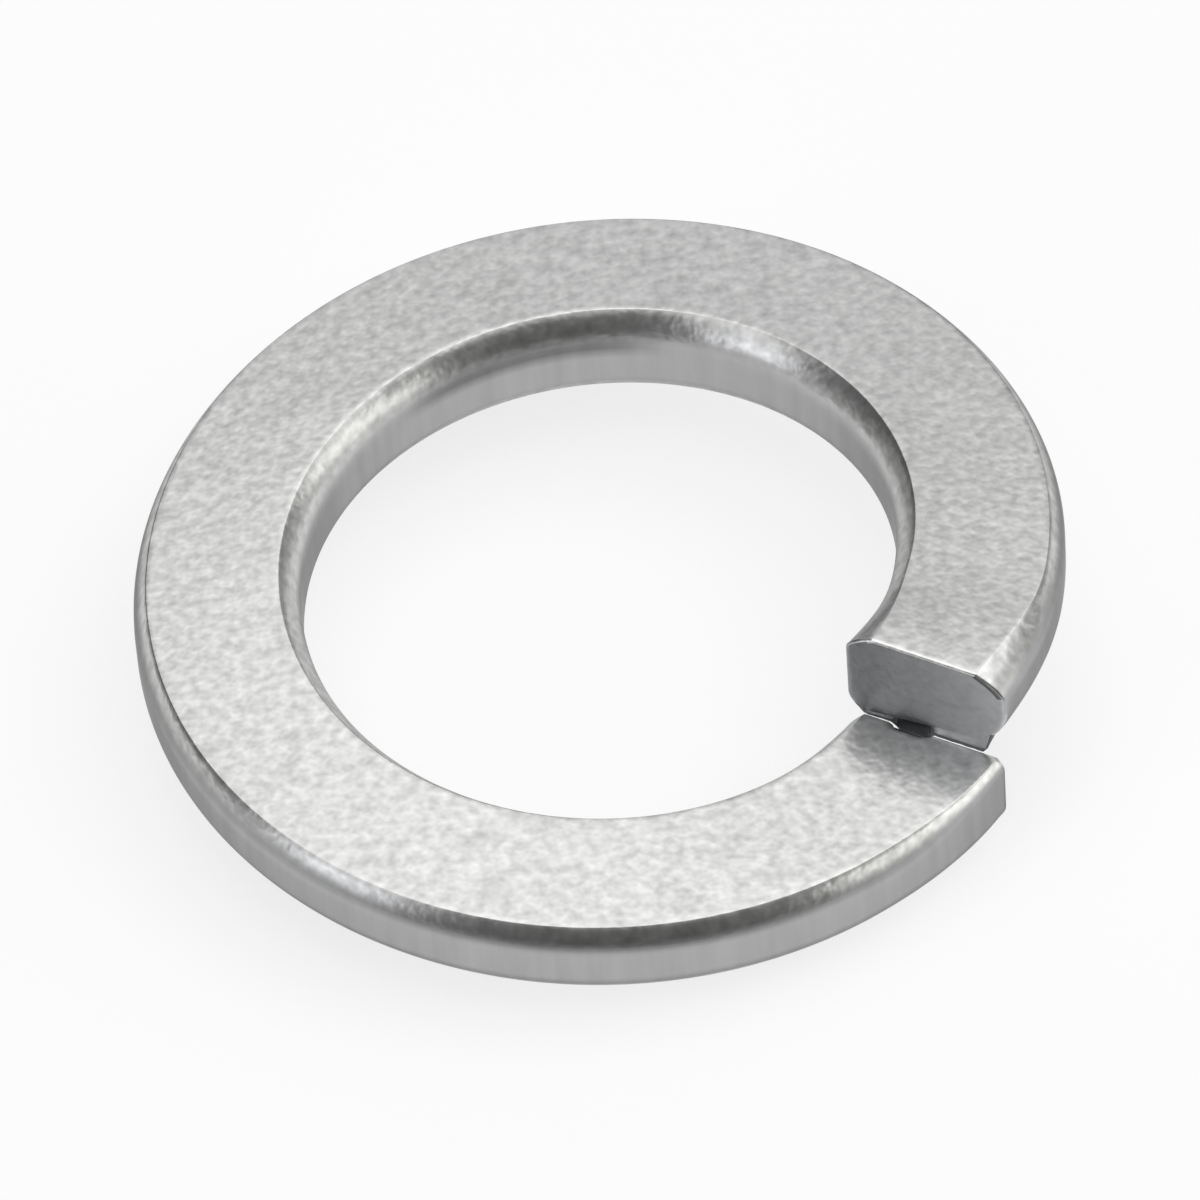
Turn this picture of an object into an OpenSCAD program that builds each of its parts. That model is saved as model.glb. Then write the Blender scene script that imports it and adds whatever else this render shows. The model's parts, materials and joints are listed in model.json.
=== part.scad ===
// Spring lock washer for a 36 mm bolt: one flat ring of steel, cut once and
// coiled by a single left-hand turn, so that its sharp cut ends stand apart in
// height. Millimetres, +Z up along the bore. The origin is on the bore's axis,
// at the level of the lowest point of the underside.

/* [Ring] */
// Diameter of the bore
bore_d = 36.7; // [32:0.1:42]
// Diameter over the rim
rim_d = 57.4; // [50:0.1:72]
// Thickness of the section at the bore
bore_thick = 6.5; // [5:0.1:9]
// Thickness of the section at the rim, a little less than at the bore
rim_thick = 5.3; // [4.8:0.1:9]

/* [Coil] */
// Height that the ring climbs in one full turn
turn_rise = 6.5; // [1:0.1:12]
// Gap between the two cut faces
slit_gap = 0.3; // [0.2:0.1:3]
// Direction of the slit round the bore, from +X
slit_az = -35.5; // [-180:0.5:180]
// Lean of the cut away from the radius, at the middle of the ring's width
slit_skew = 9; // [0:1:20]

/* [Edges] */
// Width of the top's rounded edge at the bore, across the flat face
top_bore_edge_w = 1.25; // [0.3:0.05:2]
// Height of the top's rounded edge at the bore, down the wall
top_bore_edge_h = 2.6; // [0.4:0.05:2.8]
// Width of the top's rounded edge at the rim
top_rim_edge_w = 0.9; // [0.3:0.05:2]
// Height of the top's rounded edge at the rim
top_rim_edge_h = 2; // [0.4:0.05:2.2]
// Width of the underside's rounded edge at the bore
under_bore_edge_w = 0.9; // [0.3:0.05:2]
// Height of the underside's rounded edge at the bore
under_bore_edge_h = 1.6; // [0.4:0.05:2.2]
// Width of the underside's rounded edge at the rim
under_rim_edge_w = 0.95; // [0.3:0.05:2]
// Height of the underside's rounded edge at the rim
under_rim_edge_h = 1.7; // [0.4:0.05:2]
// Fullness of the rounded edges: at 0.5 each is a plain parabola, above it a fuller one
edge_full = 0.55; // [0.5:0.01:0.65]

/* [Cut ends] */
// Extra thickness that the shearing leaves at a cut end
end_swell = 0.5; // [0:0.05:0.8]
// Width at the upper end of the top's rounded edge at the bore
head_bore_edge_w = 1.7; // [0.3:0.05:2]
// Height at the upper end of the top's rounded edge at the bore
head_bore_edge_h = 1.5; // [0.4:0.05:2.8]
// Width at the upper end of the top's rounded edge at the rim
head_rim_edge_w = 1.9; // [0.3:0.05:2.5]
// Height at the upper end of the top's rounded edge at the rim
head_rim_edge_h = 1.9; // [0.4:0.05:2.2]
// Width at the upper end of the underside's rounded edge at the rim
head_under_edge_w = 1.5; // [0.3:0.05:2]
// Height at the upper end of the underside's rounded edge at the rim
head_under_edge_h = 3; // [0.4:0.05:3.1]
// Width at the lower end of the top's rounded edge at the rim
foot_rim_edge_w = 0.45; // [0.3:0.05:2]
// Height at the lower end of the top's rounded edge at the rim
foot_rim_edge_h = 0.9; // [0.4:0.05:2.2]
// Length over which a cut end goes over into the plain ring
end_reach = 9; // [4:0.5:20]

/* [Smoothness] */
// Sections along the turn
turn_steps = 120; // [72:4:160]
// Facets across each rounded edge
edge_steps = 3; // [2:1:4]

/* [Hidden] */

bore_r = bore_d / 2;
rim_r = rim_d / 2;
mid_r = (bore_r + rim_r) / 2;
turn_length = 2 * PI * mid_r;

// The cut is one straight shear: a direction in plan, and how far it passes
// from the bore's axis
cut_az = slit_az + slit_skew;
cut_offset = -mid_r * sin(slit_skew);

// The swept body runs this far past the bore and the rim, and true cylinders
// then cut both walls
overcut = 0.05;
wall_facets = 240;

// The section's four rounded edges, anticlockwise from the top of the bore:
// wall radius, way from the wall into the section, face (1 is the top)
EDGES = [[bore_r, 1, 1], [bore_r, 1, -1], [rim_r, -1, -1], [rim_r, -1, 1]];

// Width and height of each edge: along the plain ring, at the upper end of the
// turn and at the lower one
PLAIN = [
    [top_bore_edge_w, top_bore_edge_h],
    [under_bore_edge_w, under_bore_edge_h],
    [under_rim_edge_w, under_rim_edge_h],
    [top_rim_edge_w, top_rim_edge_h],
];
HEAD = [
    [head_bore_edge_w, head_bore_edge_h],
    PLAIN[1],
    [head_under_edge_w, head_under_edge_h],
    [head_rim_edge_w, head_rim_edge_h],
];
FOOT = [PLAIN[0], PLAIN[1], PLAIN[2], [foot_rim_edge_w, foot_rim_edge_h]];

function smooth(t) = t <= 0 ? 0 : t >= 1 ? 1 : t * t * (3 - 2 * t);

// How much of a cut end's own shape is left at a share u of the turn
function end_share(u) = 1 - smooth(min(u, 1 - u) * turn_length / end_reach);

// Height of a flat face over the section's middle, without the swelling
function face_height(r) =
    (bore_thick + (rim_thick - bore_thick) * (r - bore_r) / (rim_r - bore_r)) / 2;

// Width and height of an edge at a share u of the turn
function edge_size(i, u) = PLAIN[i] + ((u > 0.5 ? HEAD[i] : FOOT[i]) - PLAIN[i]) * end_share(u);

// A rounded edge leaves the flat face at a crisp corner (t = 0) and runs into
// the wall without one (t = 1). Gives [radius, depth below the face].
function edge_point(edge, size, t) =
    [edge[0] + edge[1] * size[0] * (1 - t) * (1 - t),
     size[1] * (2 * edge_full * t * (1 - t) + t * t)];

// The last facet of the edge, carried on past the wall by the overcut
function edge_end(edge, size) =
    let (last = edge_point(edge, size, 1),
         step = last - edge_point(edge, size, 1 - 1 / edge_steps))
    last + step * overcut / abs(step[0]);

// One rounded edge of the section at u, from the flat face to the wall, as
// [radius, height over the section's middle]
function edge_points(i, u) =
    let (edge = EDGES[i], size = edge_size(i, u), swell = end_swell / 2 * end_share(u))
    [for (k = [0:edge_steps])
        let (p = k < edge_steps ? edge_point(edge, size, k / edge_steps) : edge_end(edge, size))
        [p[0], edge[2] * (face_height(p[0]) + swell - p[1])]];

function backwards(list) = [for (i = [len(list) - 1:-1:0]) list[i]];

function section(u) = concat(edge_points(0, u), backwards(edge_points(1, u)),
                             edge_points(2, u), backwards(edge_points(3, u)));

// Direction of a cut face at radius r: -1 is the lower end's, 1 the upper end's
function cut_face_az(r, end) = cut_az + asin((cut_offset + end * slit_gap / 2) / r);

// A point of the section carried to its place along the turn, which climbs clockwise
function on_turn(p, u) =
    let (first = cut_face_az(p[0], -1), last = cut_face_az(p[0], 1) - 360,
         az = first + (last - first) * u)
    [p[0] * cos(az), p[0] * sin(az), p[1] + turn_rise * (slit_az - az) / 360];

turn_points = [for (i = [0:turn_steps], p = section(i / turn_steps)) on_turn(p, i / turn_steps)];
lowest = min([for (p = turn_points) p[2]]);
highest = max([for (p = turn_points) p[2]]);
section_size = len(section(0));

// The coiled bar: its section carried along the turn, closed by the two cut faces
module swept_bar() {
    n = section_size;
    sides = [for (i = [0:turn_steps - 1], j = [0:n - 1])
        let (a = i * n + j, b = i * n + (j + 1) % n)
        each [[a, b, b + n], [a, b + n, a + n]]];
    foot = [for (j = [n - 1:-1:0]) j];
    head = [for (j = [0:n - 1]) turn_steps * n + j];
    translate([0, 0, -lowest])
        polyhedron(points = turn_points, faces = concat(sides, [foot, head]), convexity = 4);
}

module wall_cylinder(r) {
    translate([0, 0, -1]) cylinder(r = r, h = highest - lowest + 2, $fn = wall_facets);
}

module washer() {
    color("silver") difference() {
        intersection() {
            swept_bar();
            wall_cylinder(rim_r);
        }
        wall_cylinder(bore_r);
    }
}

washer();
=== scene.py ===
"""The looks of a spring lock washer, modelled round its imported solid.

The washer is one bar of spring steel with a trapezoid section, coiled by a
single left-hand turn and sheared off at a slight lean. The bar is modelled
again here in finer steps than the solid has, with the small marks that the
shear leaves, and dressed in blasted and plated steel.
"""

import json
import logging
import math
from dataclasses import dataclass, field
from enum import Enum

import bmesh
import bpy
from mathutils import Matrix, Vector, noise


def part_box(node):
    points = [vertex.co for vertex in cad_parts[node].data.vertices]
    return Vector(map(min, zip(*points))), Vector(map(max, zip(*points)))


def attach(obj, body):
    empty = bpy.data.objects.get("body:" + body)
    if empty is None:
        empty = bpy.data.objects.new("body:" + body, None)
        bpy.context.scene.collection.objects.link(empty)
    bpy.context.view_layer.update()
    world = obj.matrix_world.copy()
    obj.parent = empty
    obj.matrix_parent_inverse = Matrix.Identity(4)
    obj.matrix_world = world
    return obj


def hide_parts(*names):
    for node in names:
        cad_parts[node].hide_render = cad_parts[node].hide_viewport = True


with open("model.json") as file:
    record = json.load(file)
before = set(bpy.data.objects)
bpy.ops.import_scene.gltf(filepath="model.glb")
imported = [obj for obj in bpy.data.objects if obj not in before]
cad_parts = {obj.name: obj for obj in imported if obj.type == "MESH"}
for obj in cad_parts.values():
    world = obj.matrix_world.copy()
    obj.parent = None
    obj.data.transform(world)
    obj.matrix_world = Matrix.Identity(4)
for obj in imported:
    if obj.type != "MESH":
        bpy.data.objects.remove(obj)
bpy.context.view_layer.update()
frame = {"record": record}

MM = 0.001
HAIR = 1e-4 * MM
TURN = 2 * math.pi

log = logging.getLogger("washer")


class Wall(Enum):
    """A wall of the ring. The value is the way from the wall into the section."""

    BORE = 1
    RIM = -1


class Face(Enum):
    """A flat face of the ring. The value is the way from the section's middle to it."""

    TOP = 1
    UNDERSIDE = -1


class Zone(Enum):
    """A material slot of the ring."""

    PLATED = 0
    SHEARED = 1


def ease(share: float) -> float:
    """Go smoothly from 0 to 1 while share does, and stay there outside.

    Args:
        share: How far along the way, from 0 to 1.

    Returns:
        The eased share.
    """
    share = min(max(share, 0.0), 1.0)
    return share * share * (3 - 2 * share)


def stretch(value: float, knee: float, new_knee: float, end: float) -> float:
    """Move a length so that the knee goes to its new place and the end stays.

    Args:
        value: The length, from 0 to the end.
        knee: Where the stretching changes.
        new_knee: Where the knee goes.
        end: Where lengths stay as they are from there on.

    Returns:
        The moved length.
    """
    if value <= knee:
        return value * new_knee / knee
    if value >= end:
        return value
    return new_knee + (value - knee) * (end - new_knee) / (end - knee)


@dataclass(frozen=True)
class RoundedEdge:
    """A rounded edge of the section: crisp at the flat face, smooth at the wall.

    Attributes:
        wall: The wall that the edge runs into.
        face: The flat face that it leaves.
        width: How far it reaches over the flat face.
        height: How far it reaches down the wall.
        head: Its width and height at the upper end, where they differ.
        foot: Its width and height at the lower end, where they differ.
        fullness: How steeply it leaves the flat face, 0.5 for a plain parabola.
    """

    wall: Wall
    face: Face
    width: float
    height: float
    head: tuple[float, float] | None = None
    foot: tuple[float, float] | None = None
    fullness: float = 0.55

    def offset(self, way: float) -> tuple[float, float]:
        """Follow the edge's curve.

        Args:
            way: Way along the edge, 0 at the flat face and 1 at the wall.

        Returns:
            Distance from the wall, and depth under the flat face.
        """
        depth = 2 * self.fullness * way * (1 - way) + way * way
        return self.width * (1 - way) ** 2, self.height * depth

    def size(self, turned: float, end_share: float) -> tuple[float, float]:
        """Give the edge's width and height at a share of the turn.

        Args:
            turned: Share of the turn, 0 at the foot and 1 at the head.
            end_share: How much of the end's own shape is left there.

        Returns:
            The width and the height.
        """
        end = (self.head if turned > 0.5 else self.foot) or (self.width, self.height)
        return (self.width + (end[0] - self.width) * end_share,
                self.height + (end[1] - self.height) * end_share)


@dataclass(frozen=True)
class EdgeShade:
    """How the finish goes over from a flat to a wall along a rounded edge, and where a painted dark
    reflection lies along it.

    Ways down the edge are 0 at the flat face and 1 where the wall starts.

    Attributes:
        wall_start: Way down the edge at which the wall's finish starts to show.
        wall_reach: Way over which it takes over.
        line_way: Way down the edge at which the painted dark line, a dark reflection painted into
            the colour, is strongest.
        line_strength: How strong it is there.
        line_reach: Way over which it fades out.
    """

    wall_start: float
    wall_reach: float
    line_way: float
    line_strength: float = 1.0
    line_reach: float = 0.35


@dataclass(frozen=True)
class SeamMarks:
    """The small marks that the shear leaves on both sides of the slit.

    Attributes:
        burr_out: How far the head's burr hangs out over the slit.
        burr_depths: How far under the foot's top each ring of the head's rim ends.
        torn_start: Radius at which the stretch where the burr is torn off starts.
        torn_end: Radius at which it ends.
        torn_in: How far the foot's upper edge is torn in there.
        torn_pulls: Share of that for each ring of the foot's rim.
        torn_vary: How much it varies.
        torn_back: How far the head stands back there.
        torn_down: How much further down the head's lower edge is drawn there.
        fade: Length over which a mark fades out.
        face_zone: How near to a flat face an edge counts as its own.
        bore_margin: Distance from the bore at which the burr starts.
        rim_margin: Distance from the rim at which it ends.
        margin_fade: Length over which it fades out at those two.
        roughness: Unevenness of the burr's lower edge.
        rough_per_metre: Fineness of the unevenness.
    """

    burr_out: float = 0.14 * MM
    burr_depths: tuple[float | None, ...] = (None, 0.1 * MM, 0.25 * MM, -0.03 * MM, None)
    torn_start: float = 21.3 * MM
    torn_end: float = 23.9 * MM
    torn_in: float = 0.3 * MM
    torn_pulls: tuple[float, ...] = (0.55, 0.8, 0.9, 1.0, 0.9)
    torn_vary: float = 0.4
    torn_back: float = 0.1 * MM
    torn_down: float = 0.95 * MM
    fade: float = 0.4 * MM
    face_zone: float = 0.7 * MM
    bore_margin: float = 0.7 * MM
    rim_margin: float = 0.9 * MM
    margin_fade: float = 0.6 * MM
    roughness: float = 0.05 * MM
    rough_per_metre: float = 2500.0

    def torn_share(self, radius: float) -> float:
        """How far a radius is inside the stretch where the burr is torn off."""
        into, out_of = radius - self.torn_start, self.torn_end - radius
        return ease(into / self.fade) * ease(out_of / self.fade)


@dataclass(frozen=True)
class PaintedSeamLight:
    """Painted highlights and painted shade on the strips round a cut face: how much lighter (above
    0) or darker they are.

    Attributes:
        bright_edge: Painted highlight on the strips along the top edge.
        bright_vary: How much those vary.
        top_zone: How near to the top face a strip counts as its edge.
        chip: Painted shade on the inner strips at the head's corner at the rim, standing in for a
            shaded chip there.
        chip_width: How far the chip reaches in from the rim.
        chip_level: Height over the section's middle at which it starts.
        burr: Painted highlight on the burr, where it is brightest.
        burr_fade: Length over which the burr sets in.
        flecks: How much the lower edge varies on the inner half, in painted glints and painted
            shade at random.
        torn: Painted shade in the stretch where the burr is torn off.
        shadow: The outer strips of the lower edge.
        under_zone: How near to the underside a strip counts as the lower edge.
        vary_per_metre: Fineness of the variation.
    """

    bright_edge: float = 0.28
    bright_vary: float = 0.1
    top_zone: float = 0.1 * MM
    chip: float = -0.7
    chip_width: float = 2.1 * MM
    chip_level: float = 1.3 * MM
    burr: float = 0.9
    burr_fade: float = 0.3 * MM
    flecks: float = 0.6
    torn: float = -0.75
    shadow: float = -0.65
    under_zone: float = 0.4 * MM
    vary_per_metre: float = 1800.0


@dataclass(frozen=True)
class CutEnd:
    """A sheared end of the bar.

    Attributes:
        out: Way that the cut face looks.
        height: Height of the face's middle.
        rings: The vertices round it, from the outermost ring to the innermost.
    """

    out: Vector
    height: float
    rings: list[list[bmesh.types.BMVert]]

    def strip(self, number: int) -> set[bmesh.types.BMFace]:
        """Faces between a ring and the next one further in."""
        inner = set(self.rings[number + 1])
        around = {face for vert in self.rings[number] for face in vert.link_faces}
        return {face for face in around if inner & set(face.verts)}


@dataclass
class CoiledRing:
    """The washer's bar: its section, its turn and its two sheared ends.

    Lengths are in metres and angles in radians.
    """

    bore_r: float
    rim_r: float
    bore_thick: float = 6.5 * MM
    rim_thick: float = 5.3 * MM
    turn_rise: float = 6.5 * MM
    slit_gap: float = 0.3 * MM
    slit_az: float = math.radians(-35.5)
    slit_skew: float = math.radians(9)
    end_swell: float = 0.5 * MM
    end_reach: float = 9 * MM
    crisp_r: float = 0.05 * MM
    # Where the painted dark reflection lies along the bore's back: its middle, where it is full and
    # where it ends.
    bore_line_az: float = math.radians(101)
    bore_line_full: float = math.radians(12)
    bore_line_end: float = math.radians(30)
    cut_edge_r: float = 0.18 * MM
    cut_edge_steps: int = 3
    inner_strip: float = 0.1 * MM
    turn_steps: int = 360
    edge_steps: int = 8
    flat_steps: int = 28
    wall_steps: int = 4
    edges: tuple[RoundedEdge, ...] = (
        RoundedEdge(Wall.BORE, Face.TOP, 1.25 * MM, 2.6 * MM, head=(1.7 * MM, 1.5 * MM)),
        RoundedEdge(Wall.BORE, Face.UNDERSIDE, 0.9 * MM, 1.6 * MM),
        RoundedEdge(Wall.RIM, Face.UNDERSIDE, 0.95 * MM, 1.7 * MM, head=(1.5 * MM, 3.0 * MM)),
        RoundedEdge(Wall.RIM, Face.TOP, 0.9 * MM, 2.0 * MM, head=(1.9 * MM, 1.9 * MM),
                    foot=(0.45 * MM, 0.9 * MM)),
    )
    bore_shade: EdgeShade = EdgeShade(0.45, 0.4, 0.85, line_strength=1.4)
    rim_shade: EdgeShade = EdgeShade(0.3, 0.35, 0.45)
    marks: SeamMarks = SeamMarks()
    painted_seam_light: PaintedSeamLight = PaintedSeamLight()
    lowest: float = field(init=False, default=0.0)

    @property
    def mid_r(self) -> float:
        """Radius at the middle of the ring's width."""
        return (self.bore_r + self.rim_r) / 2

    @property
    def cut_az(self) -> float:
        """Direction of the shear's plane, seen from above."""
        return self.slit_az + self.slit_skew

    def wall_r(self, wall: Wall) -> float:
        """Radius of a wall."""
        return self.bore_r if wall is Wall.BORE else self.rim_r

    def half_height(self, radius: float) -> float:
        """Height of the flat face over the section's middle, at a radius."""
        share = (radius - self.bore_r) / (self.rim_r - self.bore_r)
        return (self.bore_thick + (self.rim_thick - self.bore_thick) * share) / 2

    def cut_side_az(self, radius: float, side: int) -> float:
        """Direction of a cut face at a radius: side -1 is the foot's, 1 the head's."""
        past_axis = -self.mid_r * math.sin(self.slit_skew) + side * self.slit_gap / 2
        return self.cut_az + math.asin(past_axis / radius)

    def end_share(self, turned: float) -> float:
        """How much of an end's own shape is left at a share of the turn."""
        to_end = min(turned, 1 - turned) * TURN * self.mid_r
        return 1 - ease(to_end / self.end_reach)

    def edge_points(self, edge: RoundedEdge) -> list[Vector]:
        """Points of a rounded edge, from the flat face to the wall."""
        points = []
        for step in range(self.edge_steps + 1):
            off, depth = edge.offset(step / self.edge_steps)
            radius = self.wall_r(edge.wall) + edge.wall.value * off
            height = edge.face.value * (self.half_height(radius) - depth)
            points.append(Vector((radius, 0, height)))
        return points

    def outline(self) -> list[Vector]:
        """Points of the whole section, anticlockwise from the top of the bore."""
        bore_top, bore_under, rim_under, rim_top = (self.edge_points(e) for e in self.edges)
        down_bore = bore_top + bore_under[::-1]
        up_rim = rim_under + rim_top[::-1]
        return down_bore + up_rim

    def make_section(self, bm: bmesh.types.BMesh) -> None:
        """Lay out the section at the slit, as a loop of edges with its layers.

        Args:
            bm: The mesh to start.
        """
        verts = [bm.verts.new(point) for point in self.outline()]
        bm.faces.new(verts)
        crisp = [vert for vert in verts if self.is_crisp(vert.co)]
        bmesh.ops.bevel(bm, geom=crisp, offset=self.crisp_r, segments=2, profile=0.5,
                        affect="VERTICES", material=-1)
        bmesh.ops.delete(bm, geom=bm.faces[:], context="FACES_ONLY")
        self.divide_long_edges(bm)
        height = bm.verts.layers.float.new("height")
        smoothness = bm.verts.layers.float.new("wall_share")
        # Layer of the painted dark reflection along the top edges.
        shade = bm.verts.layers.float.new("painted_dark_line")
        for vert in bm.verts:
            vert[height] = vert.co.z
            vert[smoothness] = self.wall_share(vert.co)
            vert[shade] = self.painted_dark_line(vert.co)
        bmesh.ops.rotate(bm, verts=bm.verts[:], matrix=Matrix.Rotation(self.slit_az, 3, "Z"))

    def is_crisp(self, point: Vector) -> bool:
        """Tell whether a point of the outline is a crisp corner of a flat face."""
        return abs(abs(point.z) - self.half_height(point.x)) < HAIR

    def divide_long_edges(self, bm: bmesh.types.BMesh) -> None:
        """Divide the section's two flats and two walls into short edges."""
        least_flat, least_wall = 5 * MM, 2 * MM
        flats = [e for e in bm.edges if e.calc_length() > least_flat]
        walls = [e for e in bm.edges if least_wall < e.calc_length() <= least_flat]
        bmesh.ops.subdivide_edges(bm, edges=flats, cuts=self.flat_steps - 1)
        bmesh.ops.subdivide_edges(bm, edges=walls, cuts=self.wall_steps - 1)

    def nearest_edge(self, radius: float, level: float) -> RoundedEdge:
        """Give the rounded edge of the section's quarter that a point lies in."""
        wall = Wall.BORE if radius < self.mid_r else Wall.RIM
        face = Face.TOP if level > 0 else Face.UNDERSIDE
        return next(e for e in self.edges if e.wall is wall and e.face is face)

    def edge_depth(self, point: Vector) -> float:
        """How far down its rounded edge a point lies: 0 on a flat, 1 and more on a wall."""
        edge = self.nearest_edge(point.x, point.z)
        return (self.half_height(point.x) - abs(point.z)) / edge.height

    def edge_shade(self, radius: float) -> EdgeShade:
        """How the finish goes over to the wall on a radius's side of the ring."""
        return self.bore_shade if radius < self.mid_r else self.rim_shade

    def wall_share(self, point: Vector) -> float:
        """How much a point of the section belongs to a wall: 0 on a flat, 1 on a wall."""
        shade = self.edge_shade(point.x)
        return ease((self.edge_depth(point) - shade.wall_start) / shade.wall_reach)

    def painted_dark_line(self, point: Vector) -> float:
        """Strength of the painted dark line: a dark reflection painted where a top edge runs into
        its wall.
        """
        if point.z < 0:
            return 0.0
        shade = self.edge_shade(point.x)
        away = abs(self.edge_depth(point) - shade.line_way)
        return shade.line_strength * ease(1 - away / shade.line_reach)

    def painted_line_share(self, radius: float, az: float, turned: float) -> float:
        """How much of the painted dark reflection is there: at the bore's back, and on the rim but
        its ends.
        """
        if radius < self.mid_r:
            near, end = math.cos(az - self.bore_line_az), math.cos(self.bore_line_end)
            return ease((near - end) / (math.cos(self.bore_line_full) - end))
        return 1 - self.end_share(turned)

    def coil(self, bm: bmesh.types.BMesh) -> None:
        """Carry the section round one full turn while it climbs."""
        step_up = Vector((0, 0, self.turn_rise / self.turn_steps))
        bmesh.ops.spin(bm, geom=bm.verts[:] + bm.edges[:], cent=(0, 0, 0), axis=(0, 0, -1),
                       dvec=step_up, angle=TURN, steps=self.turn_steps, use_merge=False)

    def turned(self, vert: bmesh.types.BMVert, height: bmesh.types.BMLayerItem) -> float:
        """Share of the turn at which a vertex lies, before it is leaned."""
        return (vert.co.z - vert[height]) / self.turn_rise

    def resized(self, radius: float, level: float, turned: float) -> tuple[float, float]:
        """Move a point of the section as the edges and the swelling of an end ask.

        Args:
            radius: The point's distance from the axis.
            level: Its height over the section's middle.
            turned: Share of the turn at which it lies.

        Returns:
            The new radius and level.
        """
        end_share = self.end_share(turned)
        swell = self.end_swell / 2 * end_share
        edge = self.nearest_edge(radius, level)
        wall_r, way = self.wall_r(edge.wall), edge.wall.value
        depth = self.half_height(radius) - abs(level)
        if depth > edge.height + HAIR:
            upper, lower = self.edges_of(edge.wall)
            half = self.half_height(wall_r)
            top = half - upper.size(turned, end_share)[1] + swell
            bottom = lower.size(turned, end_share)[1] - half - swell
            share = (level - lower.height + half) / (2 * half - upper.height - lower.height)
            return wall_r, bottom + (top - bottom) * share
        width, height = edge.size(turned, end_share)
        off = stretch((radius - wall_r) * way, edge.width, width, self.mid_r - self.bore_r)
        radius = wall_r + way * off
        level = self.half_height(radius) - depth * height / edge.height + swell
        return radius, edge.face.value * level

    def edges_of(self, wall: Wall) -> tuple[RoundedEdge, RoundedEdge]:
        """Give the upper and the lower rounded edge of a wall."""
        upper, lower = (next(e for e in self.edges if e.wall is wall and e.face is face)
                        for face in (Face.TOP, Face.UNDERSIDE))
        return upper, lower

    def shape_ends(self, bm: bmesh.types.BMesh) -> None:
        """Give both ends their own edges and swelling, and lean them to the shear."""
        height = bm.verts.layers.float["height"]
        shade = bm.verts.layers.float["painted_dark_line"]
        for vert in bm.verts:
            turned = self.turned(vert, height)
            radius, level = self.resized(vert.co.xy.length, vert[height], turned)
            first = self.cut_side_az(radius, -1)
            last = self.cut_side_az(radius, 1) - TURN
            az = first + (last - first) * turned
            climb = self.turn_rise * (self.slit_az - az) / TURN
            # Keep the painted dark reflection to the bore's back, and fade it at the rim's ends.
            vert[shade] *= self.painted_line_share(radius, az, turned)
            vert.co = Vector((radius * math.cos(az), radius * math.sin(az), level + climb))

    def close_ends(self, bm: bmesh.types.BMesh) -> list[CutEnd]:
        """Close the two ends with sheared faces.

        Returns:
            The foot's cut end and the head's.
        """
        loops = [edge for edge in bm.edges if edge.is_boundary]
        caps = bmesh.ops.edgeloop_fill(bm, edges=loops)["faces"]
        bmesh.ops.recalc_face_normals(bm, faces=bm.faces[:])
        caps.sort(key=lambda cap: cap.calc_center_median().z)
        return [self.round_rim(bm, cap) for cap in caps]

    def round_rim(self, bm: bmesh.types.BMesh, cap: bmesh.types.BMFace) -> CutEnd:
        """Round the rim of a cut face in small steps, and lay one more ring inside it."""
        cap.material_index = Zone.SHEARED.value
        out, middle = cap.normal.copy(), cap.calc_center_median()
        offsets = [vert.co - middle for vert in cap.verts]
        steps = range(self.cut_edge_steps + 1)
        angles = [TURN / 4 * step / self.cut_edge_steps for step in steps]
        insets = [(self.cut_edge_r * (1 - math.cos(angle)), self.cut_edge_r * (1 - math.sin(angle)))
                  for angle in angles]
        insets.append((self.cut_edge_r + self.inner_strip, 0.0))
        rings = []
        for number, (inward, back) in enumerate(insets):
            if number:
                cap = bmesh.ops.extrude_discrete_faces(bm, faces=[cap])["faces"][0]
            shrink = 1 - 2 * inward / self.bore_thick
            for vert, offset in zip(cap.verts, offsets):
                vert.co = middle + offset * shrink - out * back
            rings.append(list(cap.verts))
        return CutEnd(out, middle.z, rings)

    def foot_top(self, radius: float) -> float:
        """Height of the foot's top face at its cut."""
        return self.half_height(radius) + self.end_swell / 2

    def face_share(self, radius: float, level: float) -> float:
        """How near a level is to a flat face at a radius: 1 on it, 0 well inside."""
        inside = self.half_height(radius) - level
        return ease((self.marks.face_zone - inside) / self.marks.fade)

    def burr_share(self, radius: float, level: float) -> float:
        """How much the head's burr takes in a point of its lower edge."""
        marks = self.marks
        past_bore = radius - self.bore_r - marks.bore_margin
        before_rim = self.rim_r - marks.rim_margin - radius
        share = self.face_share(radius, -level)
        return share * ease(past_bore / marks.margin_fade) * ease(before_rim / marks.margin_fade)

    def tear_head(self, end: CutEnd) -> None:
        """Draw the head's lower edge down over the slit, and back where it is torn."""
        marks = self.marks
        for ring, depth in zip(end.rings, marks.burr_depths):
            if depth is None:
                continue
            for vert in ring:
                radius, level = vert.co.xy.length, vert.co.z - end.height
                rough = marks.roughness * noise.noise(vert.co * marks.rough_per_metre)
                share, torn = self.burr_share(radius, level), marks.torn_share(radius)
                target = self.foot_top(radius) - depth - marks.torn_down * torn - rough
                out = marks.burr_out - (marks.burr_out + marks.torn_back) * torn
                vert.co.z += (min(target, vert.co.z) - vert.co.z) * share
                vert.co += end.out * share * out

    def tear_foot(self, end: CutEnd) -> None:
        """Tear the foot's upper edge in where the head's burr was torn off."""
        marks = self.marks
        for ring, pull in zip(end.rings, marks.torn_pulls):
            for vert in ring:
                radius, level = vert.co.xy.length, vert.co.z - end.height
                share = self.face_share(radius, level) * marks.torn_share(radius) * pull
                share *= 1 + marks.torn_vary * noise.noise(vert.co * marks.rough_per_metre)
                vert.co -= end.out * share * marks.torn_in
                vert.co.z -= share * marks.torn_in / 2

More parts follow.
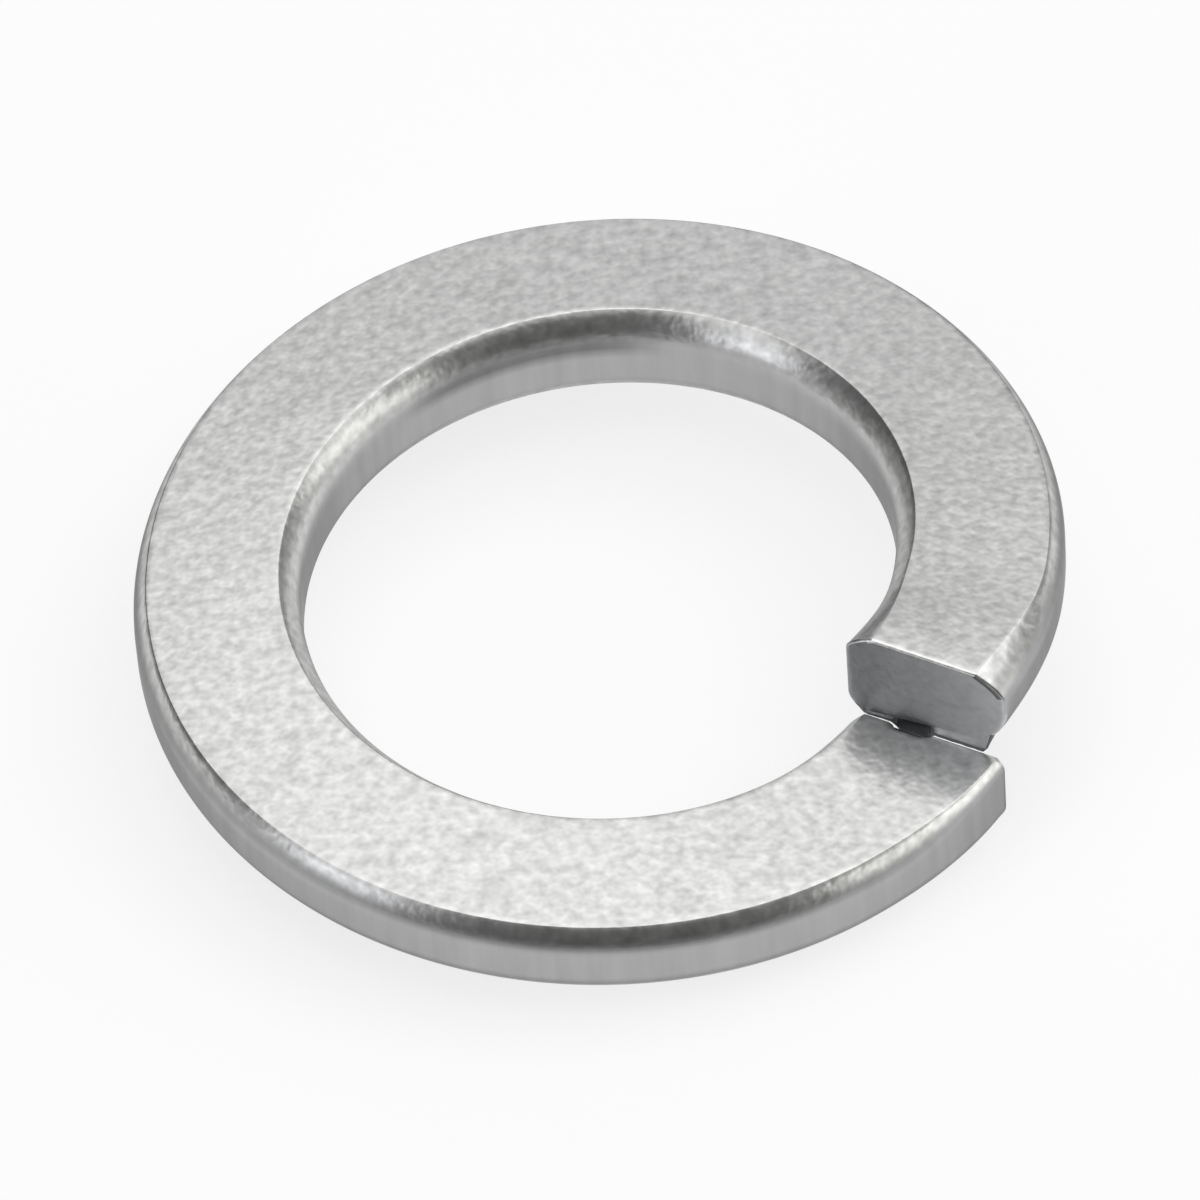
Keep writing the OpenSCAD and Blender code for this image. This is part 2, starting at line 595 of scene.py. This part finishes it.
    def dress_cut_end(self, bm: bmesh.types.BMesh, end: CutEnd, is_head: bool) -> None:
        """Set the finish of each strip of a cut end's rim, with its painted highlight or painted
        shade.

        Args:
            bm: The mesh.
            end: The cut end.
            is_head: Whether it is the upper end.
        """
        layer = bm.faces.layers.float["tone"]
        for number in range(len(end.rings) - 1):
            for face in end.strip(number):
                zone, tone = self.strip_look(face, end, number, is_head)
                face.material_index = zone.value
                face[layer] = tone

    def strip_look(self, face: bmesh.types.BMFace, end: CutEnd, number: int,
                   is_head: bool) -> tuple[Zone, float]:
        """Choose the finish of a face in the rim of a cut end, and its painted highlight or painted
        shade.

        Args:
            face: The face.
            end: The cut end.
            number: Which strip the face lies in, 0 for the outermost one.
            is_head: Whether it is the upper end.

        Returns:
            The material slot, and how much lighter or darker the face is painted.
        """
        painted_seam_light, centre = self.painted_seam_light, face.calc_center_median()
        radius, level = centre.xy.length, centre.z - end.height
        rough = noise.noise(centre * painted_seam_light.vary_per_metre)
        is_inner = number == self.cut_edge_steps
        is_outer = number < self.cut_edge_steps - 1
        # Painted highlight along the top edge.
        if level > self.half_height(radius) - painted_seam_light.top_zone and not is_inner:
            return Zone.PLATED, painted_seam_light.bright_edge + painted_seam_light.bright_vary * rough
        if not is_head:
            return Zone.SHEARED, 0.0
        if level > 0 and is_outer:
            return Zone.PLATED, 0.0
        # Painted shade at the head's corner at the rim.
        if level > painted_seam_light.chip_level and radius > self.rim_r - painted_seam_light.chip_width:
            return Zone.SHEARED, painted_seam_light.chip
        # On the lower edge: painted light of the burr on the inner strip, painted shadow on the
        # outer ones.
        if level < painted_seam_light.under_zone - self.half_height(radius):
            return Zone.SHEARED, self.burr_painted_light(radius, rough) if is_inner else painted_seam_light.shadow
        return Zone.SHEARED, 0.0

    def burr_painted_light(self, radius: float, rough: float) -> float:
        """Painted light of the burr at a radius, with a random share of -1 to 1: highlight outward,
        glints and shade inward, shade where torn.
        """
        marks, painted_seam_light = self.marks, self.painted_seam_light
        outward = ease((radius - marks.torn_end) / painted_seam_light.burr_fade)
        to_rim = (self.rim_r - radius) / (self.rim_r - marks.torn_end)
        plain = outward * painted_seam_light.burr * to_rim ** 2 + (1 - outward) * painted_seam_light.flecks * rough
        torn = marks.torn_share(radius)
        return plain * (1 - torn) + painted_seam_light.torn * torn

    def build(self) -> bpy.types.Object:
        """Model the ring.

        Returns:
            The ring, with its lowest point on the ground and its axis on Z.
        """
        bm = bmesh.new()
        self.make_section(bm)
        self.coil(bm)
        self.shape_ends(bm)
        foot, head = self.close_ends(bm)
        # Layer of the painted highlights and painted shade on the strips round the cut ends.
        bm.faces.layers.float.new("tone")
        self.dress_cut_end(bm, foot, False)
        self.dress_cut_end(bm, head, True)
        self.tear_foot(foot)
        self.tear_head(head)
        self.lowest = min(vert.co.z for vert in bm.verts)
        bmesh.ops.translate(bm, verts=bm.verts[:], vec=(0, 0, -self.lowest))
        bmesh.ops.recalc_face_normals(bm, faces=bm.faces[:])
        for face in bm.faces:
            face.smooth = len(face.verts) <= 4
        mesh = bpy.data.meshes.new("coiled_ring")
        bm.to_mesh(mesh)
        bm.free()
        ring = bpy.data.objects.new("coiled_ring", mesh)
        bpy.context.scene.collection.objects.link(ring)
        return ring


class NodeWiring:
    """Small helper that adds nodes to a tree and links them."""

    def __init__(self, tree: bpy.types.NodeTree) -> None:
        """Take the tree to work on."""
        self.tree = tree

    def add(self, kind: str, **values: object) -> bpy.types.Node:
        """Add a node.

        Args:
            kind: The node's type name, without the ShaderNode in front.
            values: Properties of the node to set.

        Returns:
            The new node.
        """
        node = self.tree.nodes.new("ShaderNode" + kind)
        for name, value in values.items():
            setattr(node, name, value)
        return node

    def link(self, source: bpy.types.NodeSocket, target: bpy.types.NodeSocket) -> None:
        """Link one socket to another."""
        self.tree.links.new(source, target)

    def mask(self, name: str) -> bpy.types.NodeSocket:
        """Read a layer of the mesh, and give it as a number."""
        return self.add("Attribute", attribute_name=name, attribute_type="GEOMETRY").outputs["Fac"]

    def tone(self) -> bpy.types.NodeSocket:
        """Read the strips' painted highlights and shade, and give them as a share of the colour."""
        return self.math("ADD", self.mask("tone"), 1.0)

    def math(self, operation: str, *terms: float | bpy.types.NodeSocket) -> bpy.types.NodeSocket:
        """Add a Math node whose terms are numbers or sockets, and give its output."""
        node = self.add("Math", operation=operation)
        for socket, term in zip(node.inputs, terms):
            if isinstance(term, bpy.types.NodeSocket):
                self.link(term, socket)
            else:
                socket.default_value = term
        return node.outputs[0]


def new_group(name: str, inputs: dict[str, float], outputs: dict[str, str]) -> bpy.types.NodeTree:
    """Start a shader node group with named sockets.

    Args:
        name: The group's name.
        inputs: Each input's name and its usual value.
        outputs: Each output's name and socket type.

    Returns:
        The group, with its input and output nodes in place.
    """
    group = bpy.data.node_groups.new(name, "ShaderNodeTree")
    for title, value in inputs.items():
        socket = group.interface.new_socket(title, in_out="INPUT", socket_type="NodeSocketFloat")
        socket.default_value = value
    for title, kind in outputs.items():
        group.interface.new_socket(title, in_out="OUTPUT", socket_type=kind)
    group.nodes.new("NodeGroupInput")
    group.nodes.new("NodeGroupOutput")
    return group


def blasted_grain() -> bpy.types.NodeTree:
    """Build the grain of blasted and plated steel.

    Returns:
        A group whose Shade goes round 1, and whose Height is from 0 to 1.
    """
    group = new_group(
        "blasted_grain",
        {"Grain per metre": 1500.0, "Blotch per metre": 600.0, "Contrast": 0.7},
        {"Shade": "NodeSocketFloat", "Height": "NodeSocketFloat"},
    )
    wire = NodeWiring(group)
    given = group.nodes["Group Input"]
    put = group.nodes["Group Output"]
    place = wire.add("TexCoord")
    fine = wire.add("TexNoise")
    fine.inputs["Detail"].default_value = 1.0
    wire.link(place.outputs["Object"], fine.inputs["Vector"])
    wire.link(given.outputs["Grain per metre"], fine.inputs["Scale"])
    broad = wire.add("TexNoise")
    broad.inputs["Detail"].default_value = 3.0
    wire.link(place.outputs["Object"], broad.inputs["Vector"])
    wire.link(given.outputs["Blotch per metre"], broad.inputs["Scale"])
    broad_share = 0.35
    both = wire.math("MULTIPLY_ADD", broad.outputs["Fac"], broad_share, fine.outputs["Fac"])
    centred = wire.math("SUBTRACT", both, 0.5 * (1 + broad_share))
    spread = wire.math("MULTIPLY", centred, given.outputs["Contrast"])
    wire.link(wire.math("ADD", spread, 1.0), put.inputs["Shade"])
    wire.link(fine.outputs["Fac"], put.inputs["Height"])
    return group


def drawn_streaks() -> bpy.types.NodeTree:
    """Build the faint upright streaks of the smoother walls.

    Returns:
        A group whose Shade goes round 1, and whose Height is from 0 to 1.
    """
    group = new_group(
        "drawn_streaks",
        {"Streaks per metre": 1100.0, "Contrast": 0.3},
        {"Shade": "NodeSocketFloat", "Height": "NodeSocketFloat"},
    )
    wire = NodeWiring(group)
    given = group.nodes["Group Input"]
    put = group.nodes["Group Output"]
    place = wire.add("TexCoord")
    upright = 0.08
    squeeze = wire.add("Mapping")
    squeeze.inputs["Scale"].default_value = (1, 1, upright)
    wire.link(place.outputs["Object"], squeeze.inputs["Vector"])
    streak = wire.add("TexNoise")
    streak.inputs["Detail"].default_value = 3.0
    wire.link(squeeze.outputs["Vector"], streak.inputs["Vector"])
    wire.link(given.outputs["Streaks per metre"], streak.inputs["Scale"])
    centred = wire.math("SUBTRACT", streak.outputs["Fac"], 0.5)
    spread = wire.math("MULTIPLY", centred, given.outputs["Contrast"])
    wire.link(wire.math("ADD", spread, 1.0), put.inputs["Shade"])
    wire.link(streak.outputs["Fac"], put.inputs["Height"])
    return group


@dataclass(frozen=True)
class PlatedSteel:
    """Blasted and plated steel, grainy on the flats and smoother on the walls, which are painted
    darker as shade.

    Attributes:
        flat_colour: Colour of the flat faces.
        wall_colour: Colour of the walls, darker than the flats as painted shade.
        flat_rough: Roughness of the flat faces.
        wall_rough: Roughness of the walls.
        graze_tint: Tint of what the metal mirrors at a grazing look.
        line_depth: How much darker the painted dark reflection line of strength 1 is.
        grain_depth: Depth of the grain on the flats, in metres.
        wall_calm: How much of that depth is missing on the walls.
    """

    flat_colour: tuple[float, float, float] = (0.74, 0.74, 0.73)
    wall_colour: tuple[float, float, float] = (0.42, 0.42, 0.425)
    flat_rough: float = 0.31
    wall_rough: float = 0.3
    graze_tint: tuple[float, float, float] = (0.5, 0.5, 0.5)
    line_depth: float = 0.4
    grain_depth: float = 0.03 * MM
    wall_calm: float = 0.8

    def material(self, grain: bpy.types.NodeTree,
                 streaks: bpy.types.NodeTree) -> bpy.types.Material:
        """Build the finish from the groups of grain and streaks."""
        material = bpy.data.materials.new("plated_steel")
        material.use_nodes = True
        wire = NodeWiring(material.node_tree)
        shader = material.node_tree.nodes["Principled BSDF"]
        shader.inputs["Metallic"].default_value = 1.0
        shader.inputs["Specular Tint"].default_value = (*self.graze_tint, 1)
        wall_share = wire.mask("wall_share")
        grains = wire.add("Group", node_tree=grain)
        lines = wire.add("Group", node_tree=streaks)
        # The walls' darker colour is painted shade, for the dimmer light that they mirror.
        colour = wire.add("Mix", data_type="RGBA")
        colour.inputs[6].default_value = (*self.flat_colour, 1)
        colour.inputs[7].default_value = (*self.wall_colour, 1)
        wire.link(wall_share, colour.inputs["Factor"])
        shade = wire.add("Mix", data_type="FLOAT")
        wire.link(wall_share, shade.inputs["Factor"])
        wire.link(grains.outputs["Shade"], shade.inputs[2])
        wire.link(lines.outputs["Shade"], shade.inputs[3])
        shaded = wire.add("VectorMath", operation="SCALE")
        wire.link(colour.outputs[2], shaded.inputs[0])
        wire.link(shade.outputs[0], shaded.inputs["Scale"])
        # Painted dark reflection along the top edges, and the painted highlights and shade of the
        # cut strips.
        darker = wire.math("MULTIPLY", wire.mask("painted_dark_line"), self.line_depth)
        keep = wire.math("MULTIPLY", wire.math("SUBTRACT", 1.0, darker), wire.tone())
        tint = wire.add("VectorMath", operation="SCALE")
        wire.link(shaded.outputs[0], tint.inputs[0])
        wire.link(keep, tint.inputs["Scale"])
        wire.link(tint.outputs[0], shader.inputs["Base Color"])
        rough = wire.add("Mix", data_type="FLOAT")
        rough.inputs[2].default_value = self.flat_rough
        rough.inputs[3].default_value = self.wall_rough
        wire.link(wall_share, rough.inputs["Factor"])
        wire.link(rough.outputs[0], shader.inputs["Roughness"])
        bump = wire.add("Bump")
        bump.inputs["Distance"].default_value = self.grain_depth
        calm = wire.math("SUBTRACT", 1.0, wire.math("MULTIPLY", wall_share, self.wall_calm))
        wire.link(calm, bump.inputs["Strength"])
        wire.link(grains.outputs["Height"], bump.inputs["Height"])
        wire.link(bump.outputs["Normal"], shader.inputs["Normal"])
        return material


@dataclass(frozen=True)
class ShearedSteel:
    """The torn face of a sheared end, plated like the rest but darker.

    Attributes:
        colour: Colour of the face.
        at_bore: How light it is at the bore, as a share of that colour, in a painted reflection
            that grows lighter to the rim.
        at_rim: How light it is at the rim.
        rough: Roughness of the face.
        tears_per_metre: Fineness of the tears.
        tear_contrast: How much their colour varies.
        tear_depth: Depth of the tears, in metres.
    """

    colour: tuple[float, float, float] = (0.38, 0.387, 0.4)
    at_bore: float = 0.72
    at_rim: float = 1.38
    rough: float = 0.4
    tears_per_metre: float = 1600.0
    tear_contrast: float = 0.3
    tear_depth: float = 0.03 * MM

    def material(self, grain: bpy.types.NodeTree, ring: CoiledRing) -> bpy.types.Material:
        """Build the finish from the group of grain, for the ring's width."""
        material = bpy.data.materials.new("sheared_steel")
        material.use_nodes = True
        wire = NodeWiring(material.node_tree)
        shader = material.node_tree.nodes["Principled BSDF"]
        shader.inputs["Metallic"].default_value = 1.0
        shader.inputs["Roughness"].default_value = self.rough
        place = wire.add("TexCoord")
        flat = wire.add("VectorMath", operation="MULTIPLY")
        flat.inputs[1].default_value = (1, 1, 0)
        wire.link(place.outputs["Object"], flat.inputs[0])
        radius = wire.add("VectorMath", operation="LENGTH")
        wire.link(flat.outputs[0], radius.inputs[0])
        # Painted reflection: the face is darker at the bore and lighter at the rim.
        across = wire.add("MapRange")
        across.inputs["From Min"].default_value = ring.bore_r
        across.inputs["From Max"].default_value = ring.rim_r
        across.inputs["To Min"].default_value = self.at_bore
        across.inputs["To Max"].default_value = self.at_rim
        wire.link(radius.outputs["Value"], across.inputs["Value"])
        grains = wire.add("Group", node_tree=grain)
        grains.inputs["Grain per metre"].default_value = self.tears_per_metre
        grains.inputs["Contrast"].default_value = self.tear_contrast
        # The strips' painted highlights and shade, times the painted reflection across the face.
        shade = wire.math("MULTIPLY", wire.tone(), across.outputs["Result"])
        tint = wire.add("VectorMath", operation="SCALE")
        tint.inputs[0].default_value = self.colour
        wire.link(wire.math("MULTIPLY", shade, grains.outputs["Shade"]), tint.inputs["Scale"])
        wire.link(tint.outputs[0], shader.inputs["Base Color"])
        bump = wire.add("Bump")
        bump.inputs["Distance"].default_value = self.tear_depth
        wire.link(grains.outputs["Height"], bump.inputs["Height"])
        wire.link(bump.outputs["Normal"], shader.inputs["Normal"])
        return material


@dataclass
class PhotoCamera:
    """The camera, which looks down on the lying washer from far off.

    Attributes:
        elevation: Height of the view over the horizon, in radians.
        roll: Turn of the picture, in radians, positive anticlockwise.
        aim_right: How far the picture's middle lies right of the bore's axis.
        aim_up: How far it lies above the origin in the picture.
        distance: Distance from the origin, along the view.
        lens: Focal length in millimetres.
        sensor: Width of the sensor in millimetres.
        sight: How far the camera sees, in metres.
    """

    elevation: float = math.radians(47.892)
    roll: float = math.radians(-4.364)
    aim_right: float = -0.304 * MM
    aim_up: float = 3.727 * MM
    distance: float = 742.589 * MM
    lens: float = 360.0
    sensor: float = 36.0
    sight: float = 10.0

    def build(self) -> bpy.types.Object:
        """Place the camera and make it the scene's own."""
        ahead = Vector((0, math.cos(self.elevation), -math.sin(self.elevation)))
        up = Vector((0, math.sin(self.elevation), math.cos(self.elevation)))
        right = Vector((1, 0, 0))
        turn = Matrix.Rotation(-self.roll, 3, ahead)
        right, up = turn @ right, turn @ up
        data = bpy.data.cameras.new("photo_camera")
        data.lens = self.lens
        data.sensor_width = self.sensor
        data.clip_end = self.sight
        camera = bpy.data.objects.new("photo_camera", data)
        place = right * self.aim_right + up * self.aim_up - ahead * self.distance
        axes = Matrix((right, up, -ahead)).transposed().to_4x4()
        camera.matrix_world = Matrix.Translation(place) @ axes
        bpy.context.scene.collection.objects.link(camera)
        bpy.context.scene.camera = camera
        return camera


def direction(az: float, el: float) -> Vector:
    """Unit vector to a direction from +X and a height over the horizon, in degrees."""
    az, el = math.radians(az), math.radians(el)
    return Vector((math.cos(el) * math.cos(az), math.cos(el) * math.sin(az), math.sin(el)))


@dataclass(frozen=True)
class Softbox:
    """A soft lamp that looks at the washer from a metre away.

    Attributes:
        name: What the lamp is called.
        az: Direction of the lamp from +X, in degrees.
        el: Height of the lamp over the horizon, in degrees.
        width: Width of the lamp, in metres.
        height: Height of the lamp, in metres.
        power: Power of the lamp, in watts.
        colour: Colour of its light.
    """

    name: str
    az: float
    el: float
    width: float
    height: float
    power: float
    colour: tuple[float, float, float] = (1.0, 1.0, 1.0)

    def build(self) -> bpy.types.Object:
        """Hang the lamp and turn it to the washer."""
        data = bpy.data.lights.new(self.name, "AREA")
        data.shape = "RECTANGLE"
        data.size = self.width
        data.size_y = self.height
        data.energy = self.power
        data.color = self.colour
        lamp = bpy.data.objects.new(self.name, data)
        lamp.visible_camera = False
        away = direction(self.az, self.el)
        facing = away.to_track_quat("Z", "Y").to_matrix().to_4x4()
        lamp.matrix_world = Matrix.Translation(away) @ facing
        bpy.context.scene.collection.objects.link(lamp)
        return lamp


@dataclass
class Studio:
    """A white floor in a dim room, with a broad light overhead and lamps round it.

    Attributes:
        floor_half: Half the floor's width.
        floor_colour: Colour of the floor.
        floor_glow: Light that the floor adds for the eye and for reflections.
        glow_full: Distance to the front and back up to which reflections see all of it.
        glow_end: Distance to the front and back from which they see none of it.
        room_dim: Light of the dim room.
        overhead: Light that the broad overhead light has on top.
        overhead_az: Direction of the overhead light's middle from +X, in degrees.
        overhead_el: Height of its middle over the horizon, in degrees.
        overhead_full: Angle from its middle up to which it is full, in degrees.
        overhead_end: Angle from its middle at which it ends, in degrees.
        lamps: The lamps round the floor.
    """

    floor_half: float = 2.0
    floor_colour: tuple[float, float, float] = (0.4, 0.4, 0.4)
    floor_glow: float = 0.665
    glow_full: float = 0.035
    glow_end: float = 0.1
    room_dim: float = 0.075
    overhead: float = 1.12
    overhead_az: float = 20.0
    overhead_el: float = 82.0
    overhead_full: float = 30.0
    overhead_end: float = 60.0
    lamps: tuple[Softbox, ...] = (
        Softbox("right_lamp", 345, 10, 1.0, 0.34, 1.65, (1.0, 1.0, 0.96)),
        Softbox("right_fill", 5, 36, 0.8, 0.5, 0.85),
        Softbox("back_right_fill", 50, 20, 0.5, 0.4, 0.25),
        Softbox("front_left_lamp", 210, 10, 0.5, 0.34, 0.75, (0.95, 0.96, 1.0)),
        Softbox("front_left_fill", 208, 36, 0.6, 0.5, 0.78),
        Softbox("back_lamp", 97, 22, 0.6, 0.5, 0.6, (0.97, 0.98, 1.0)),
    )

    def floor_material(self) -> bpy.types.Material:
        """Build the floor's material, white to the eye and in the metal."""
        material = bpy.data.materials.new("studio_floor")
        material.use_nodes = True
        wire = NodeWiring(material.node_tree)
        shader = material.node_tree.nodes["Principled BSDF"]
        shader.inputs["Base Color"].default_value = (*self.floor_colour, 1)
        shader.inputs["Roughness"].default_value = 1.0
        shader.inputs["Specular IOR Level"].default_value = 0.0
        shader.inputs["Emission Color"].default_value = (1, 1, 1, 1)
        place = wire.add("TexCoord")
        depth = wire.add("VectorMath", operation="MULTIPLY")
        depth.inputs[1].default_value = (0, 1, 0)
        wire.link(place.outputs["Object"], depth.inputs[0])
        away = wire.add("VectorMath", operation="LENGTH")
        wire.link(depth.outputs[0], away.inputs[0])
        near = wire.add("MapRange", interpolation_type="SMOOTHSTEP")
        near.inputs["From Min"].default_value = self.glow_full
        near.inputs["From Max"].default_value = self.glow_end
        near.inputs["To Min"].default_value = 1.0
        near.inputs["To Max"].default_value = 0.0
        wire.link(away.outputs["Value"], near.inputs["Value"])
        path = wire.add("LightPath")
        mirrored = wire.math("MULTIPLY", path.outputs["Is Glossy Ray"], near.outputs["Result"])
        seen = wire.math("MAXIMUM", path.outputs["Is Camera Ray"], mirrored)
        seen = wire.math("MAXIMUM", seen, path.outputs["Is Transmission Ray"])
        wire.link(wire.math("MULTIPLY", seen, self.floor_glow), shader.inputs["Emission Strength"])
        return material

    def floor(self) -> bpy.types.Object:
        """Lay the floor under the washer."""
        bm = bmesh.new()
        bmesh.ops.create_grid(bm, x_segments=1, y_segments=1, size=self.floor_half)
        mesh = bpy.data.meshes.new("studio_floor")
        bm.to_mesh(mesh)
        bm.free()
        mesh.materials.append(self.floor_material())
        floor = bpy.data.objects.new("studio_floor", mesh)
        bpy.context.scene.collection.objects.link(floor)
        return floor

    def world(self) -> None:
        """Fill the room with its dim light and the broad light overhead."""
        world = bpy.data.worlds.new("studio")
        world.use_nodes = True
        wire = NodeWiring(world.node_tree)
        background = world.node_tree.nodes["Background"]
        background.inputs["Color"].default_value = (1, 1, 1, 1)
        way = wire.add("TexCoord")
        to_light = wire.add("VectorMath", operation="DOT_PRODUCT")
        to_light.inputs[1].default_value = direction(self.overhead_az, self.overhead_el)
        wire.link(way.outputs["Generated"], to_light.inputs[0])
        angle = wire.math("ARCCOSINE", to_light.outputs["Value"])
        light = wire.add("MapRange", interpolation_type="SMOOTHSTEP")
        light.inputs["From Min"].default_value = math.radians(self.overhead_full)
        light.inputs["From Max"].default_value = math.radians(self.overhead_end)
        light.inputs["To Min"].default_value = self.room_dim + self.overhead
        light.inputs["To Max"].default_value = self.room_dim
        wire.link(angle, light.inputs["Value"])
        wire.link(light.outputs["Result"], background.inputs["Strength"])
        bpy.context.scene.world = world

    def build(self) -> bpy.types.Object:
        """Set up the whole studio and give its floor."""
        self.world()
        for lamp in self.lamps:
            lamp.build()
        return self.floor()


def mount_radius(name: str) -> float:
    """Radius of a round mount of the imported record, in metres."""
    mount = next(m for m in frame["record"]["mounts"] if m["name"] == name)
    return mount["dims"]["r_mm"] * MM


def main() -> None:
    """Build the washer, its studio and its camera."""
    logging.basicConfig(level=logging.INFO, format="%(message)s")
    low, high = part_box("washer")
    PhotoCamera().build()
    Studio().build()

    ring = CoiledRing(bore_r=mount_radius("bore"), rim_r=(high.x - low.x) / 2)
    coiled_ring = ring.build()
    grain, streaks = blasted_grain(), drawn_streaks()
    coiled_ring.data.materials.append(PlatedSteel().material(grain, streaks))
    coiled_ring.data.materials.append(ShearedSteel().material(grain, ring))
    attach(coiled_ring, "root")
    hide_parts("washer")
    log.info("coiled_ring: %d faces, lowest point moved by %.3f mm",
             len(coiled_ring.data.polygons), -ring.lowest / MM)

    bpy.context.scene.view_settings.view_transform = "Standard"


if __name__ == "__main__":
    main()
